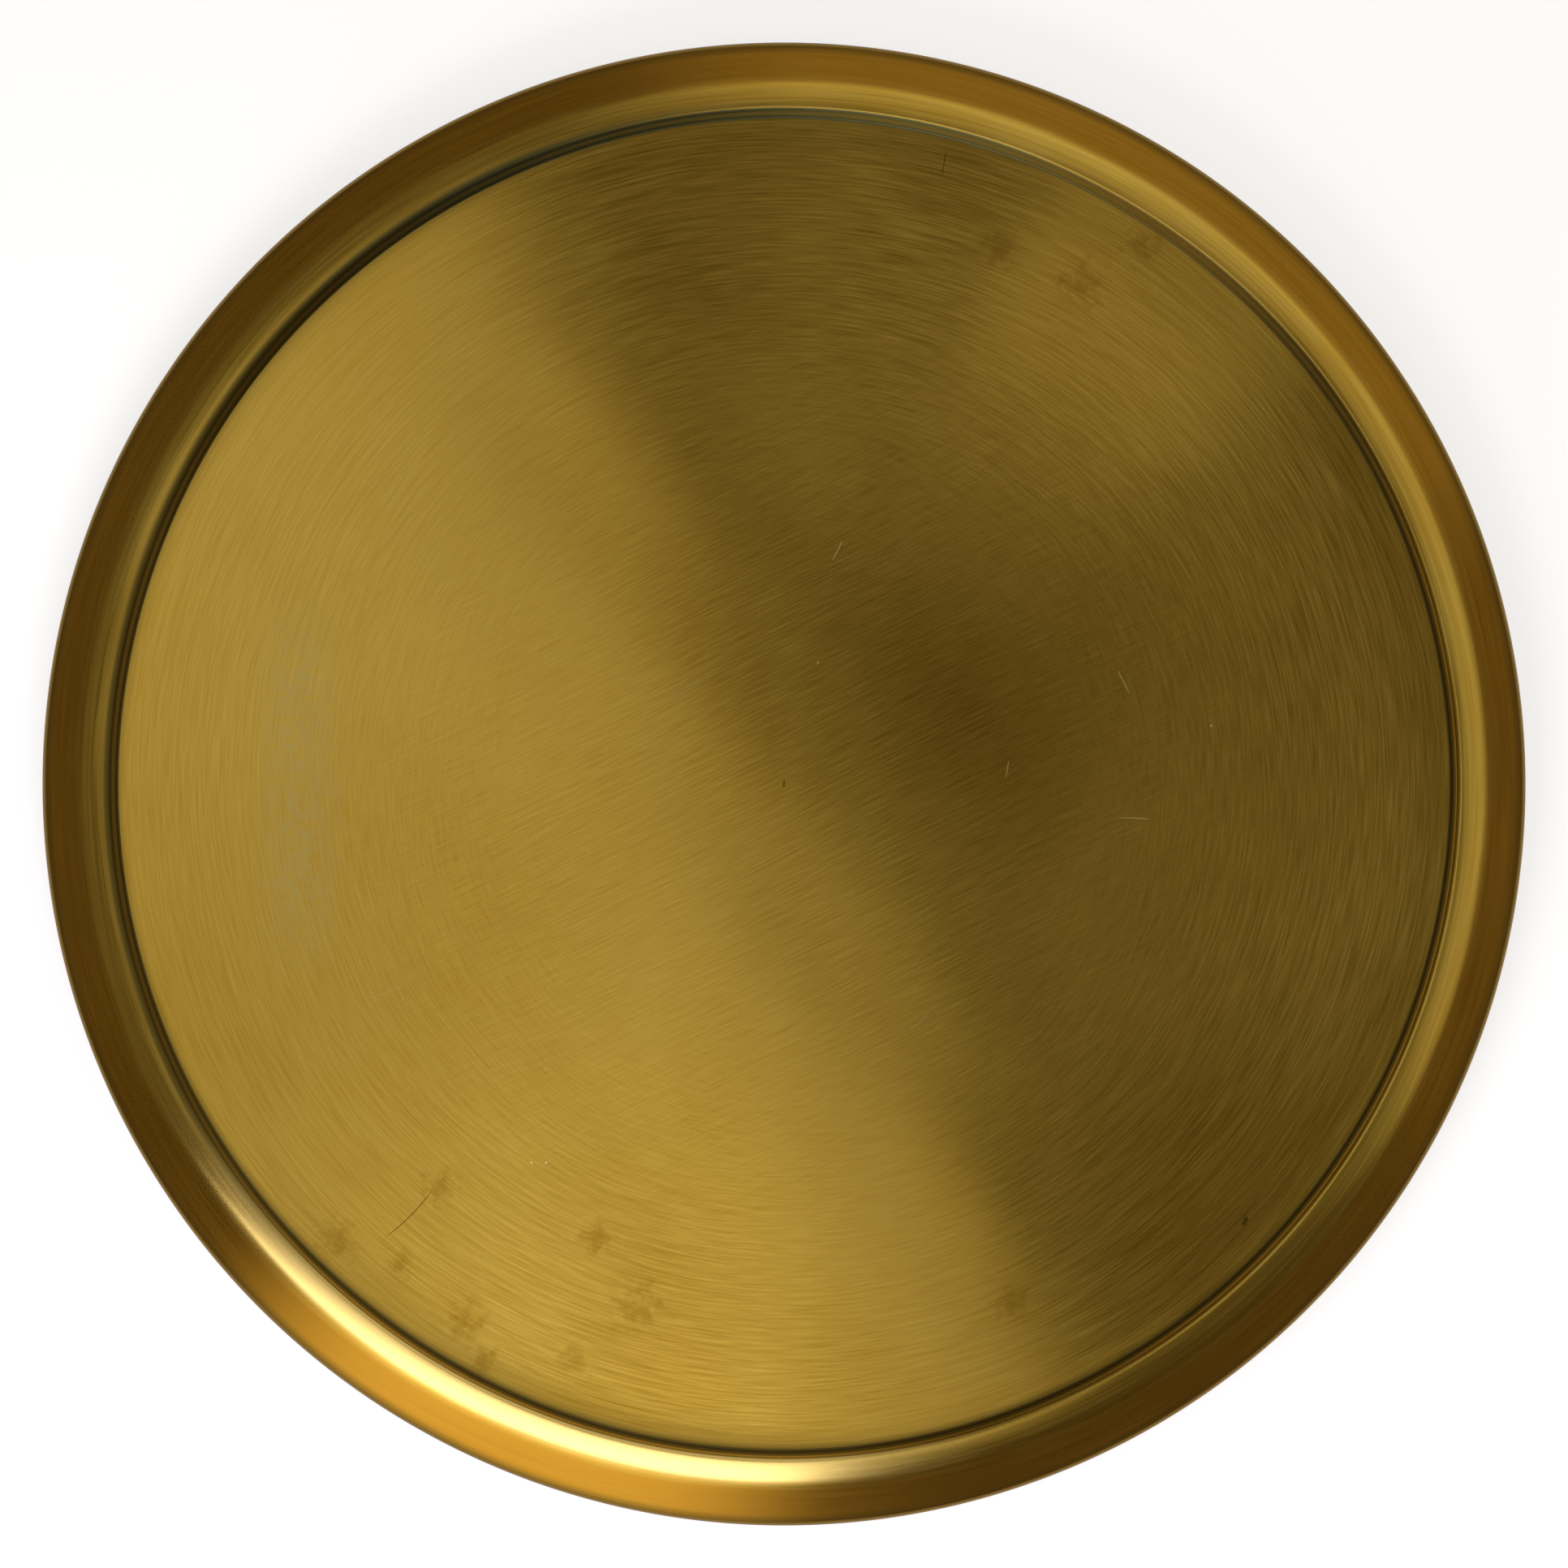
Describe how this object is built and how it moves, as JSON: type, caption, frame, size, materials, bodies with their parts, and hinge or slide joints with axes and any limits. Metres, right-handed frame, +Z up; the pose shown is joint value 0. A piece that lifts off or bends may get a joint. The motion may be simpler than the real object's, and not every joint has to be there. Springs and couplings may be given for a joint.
{
  "type": "offering plate",
  "caption": "Shallow round brass plate with a flat brushed floor, a short steep wall, a turned-over rim with a wired edge, and a felt base.",
  "frame": {"origin": "centre of the underside, on the surface that the plate stands on", "axes": "+Z up along the plate's axis, out of the dish; X and Y are any two directions across the round plate"},
  "size_m": [0.305, 0.305, 0.018],
  "materials": {
    "satin_brass": "aged brass, brushed floor and satin rim",
    "edge_wire": "drawn steel wire, hidden in the hem",
    "green_felt": "pressed wool felt"
  },
  "bodies": {
    "root": {"dish": "satin_brass", "rim_wire": "edge_wire", "base_felt": "green_felt"}
  },
  "joints": []
}
